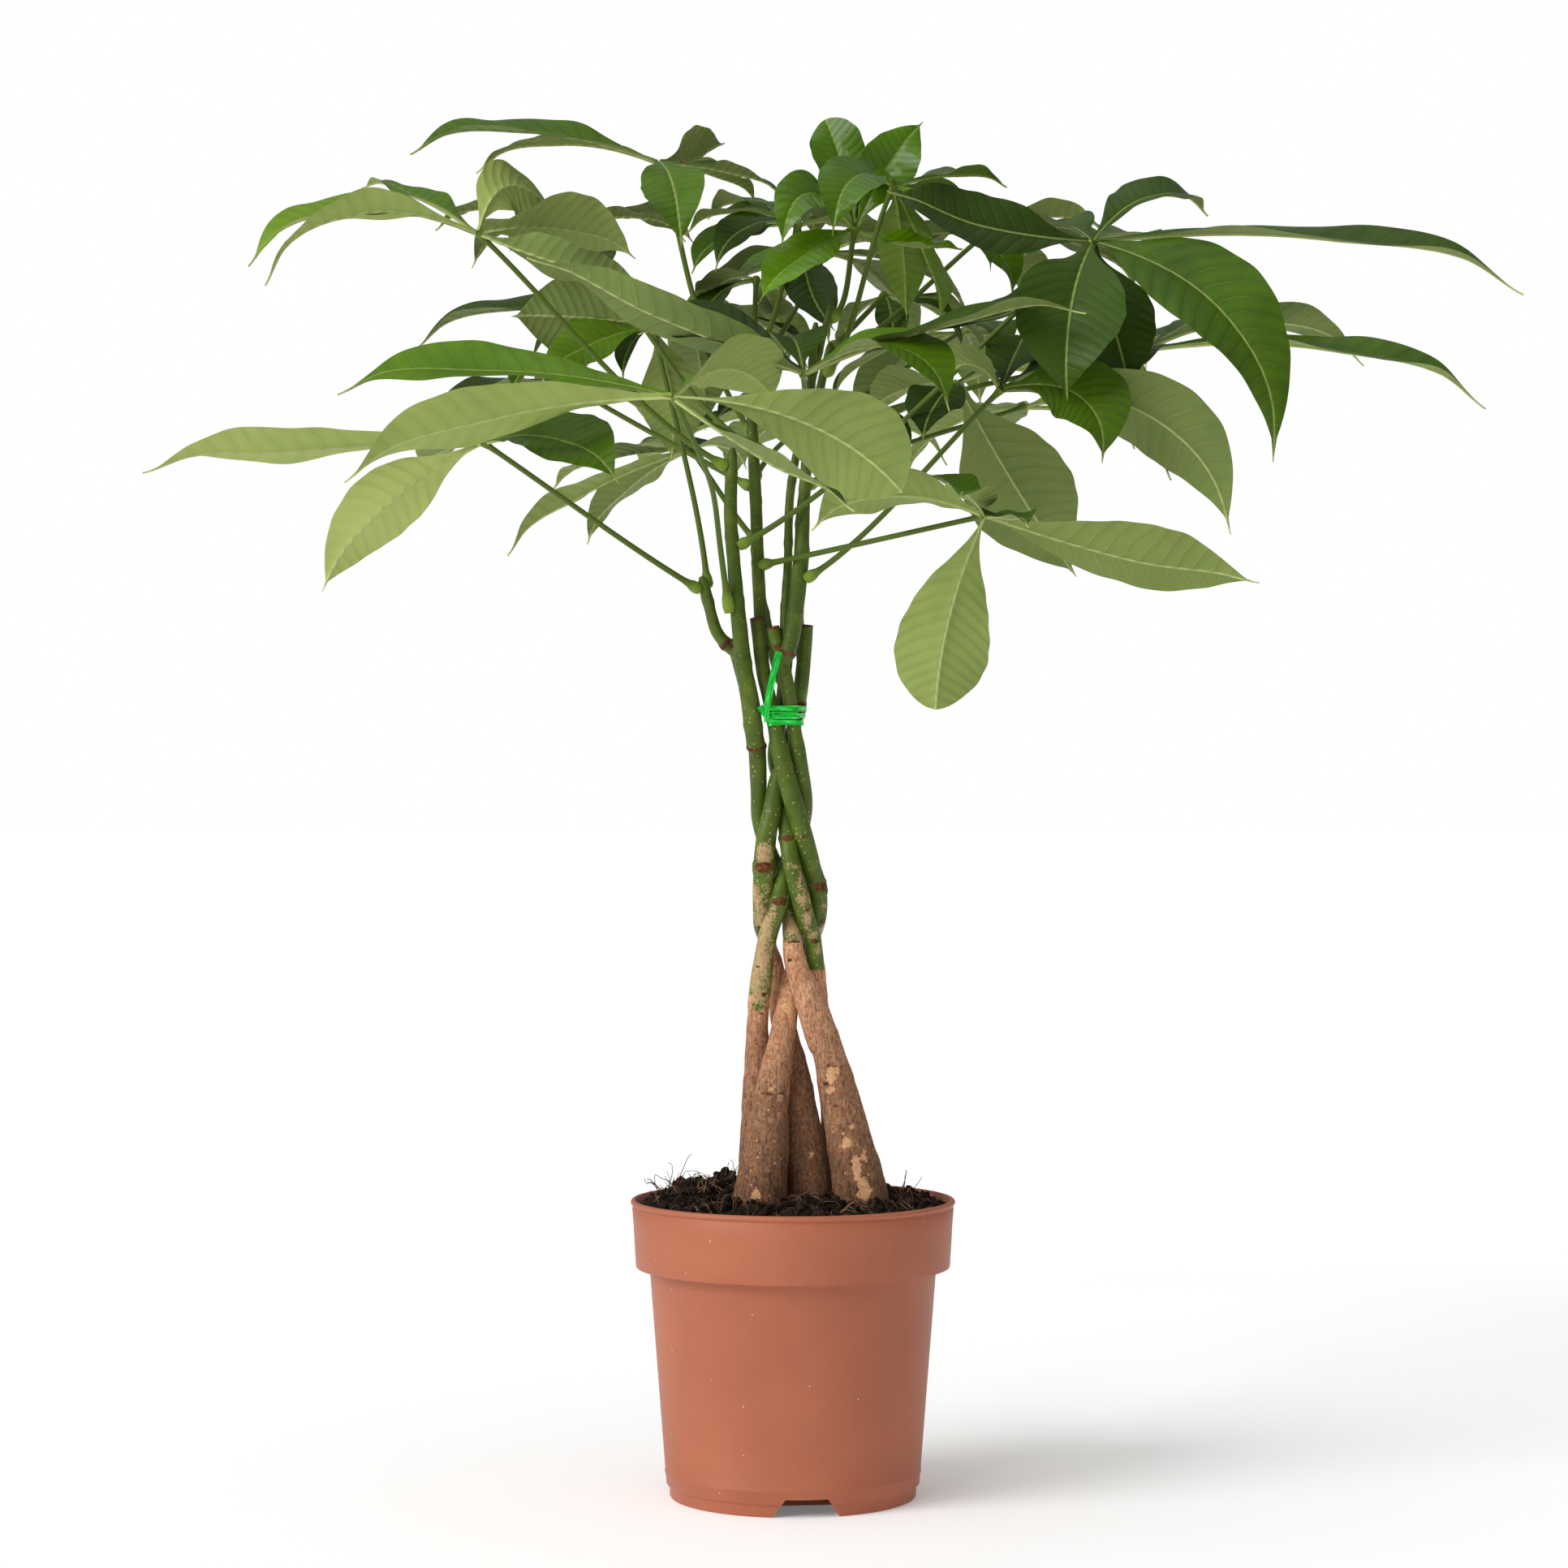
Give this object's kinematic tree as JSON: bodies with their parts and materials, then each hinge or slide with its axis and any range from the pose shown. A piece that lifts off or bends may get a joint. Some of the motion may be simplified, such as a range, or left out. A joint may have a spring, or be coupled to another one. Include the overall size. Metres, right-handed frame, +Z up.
{
  "type": "potted money tree",
  "caption": "Young trees braided into one trunk and tied below a wide canopy of palmate leaves, planted in a tapered moulded plastic pot.",
  "frame": {"origin": "middle of the pot's flat underside, where the plant rests", "axes": "+Z up; -Y towards the front of the plant, +X to its right as seen from the front"},
  "size_m": [0.7013, 0.4549, 0.7262],
  "materials": {
    "terracotta_plastic": "satin moulded plastic",
    "potting_soil": "loose and clumpy",
    "bark": "brown fissured bark below, smooth green bark above",
    "tie_foil": "metallic film",
    "leaf": "satin leaf",
    "young_leaf": "glossy young leaf"
  },
  "bodies": {
    "root": {"pot": "terracotta_plastic", "soil": "potting_soil", "tree_front_left": "bark", "tree_middle": "bark", "tree_front_right": "bark", "tree_left_behind": "bark", "tree_right_behind": "bark", "twist_tie": "tie_foil", "leaf_top_left": "leaf", "leaf_upper_left": "leaf", "leaf_left_backlit": "leaf", "leaf_front_high": "leaf", "leaf_front_left": "leaf", "leaf_far_left": "leaf", "leaf_left_low_behind": "leaf", "leaf_front_right": "leaf", "leaf_right_hanging": "leaf", "leaf_low_right": "leaf", "leaf_far_right": "leaf", "leaf_top_right": "leaf", "leaf_crown_young": "young_leaf", "leaf_crown_right": "young_leaf", "leaf_crown_left": "leaf", "leaf_back_1": "leaf", "leaf_back_2": "leaf", "leaf_back_3": "leaf", "leaf_back_4": "leaf", "leaf_back_5": "leaf", "leaf_back_6": "leaf", "leaf_back_7": "leaf", "leaf_back_8": "leaf", "leaf_inner_1": "leaf", "leaf_inner_2": "leaf"}
  },
  "joints": []
}
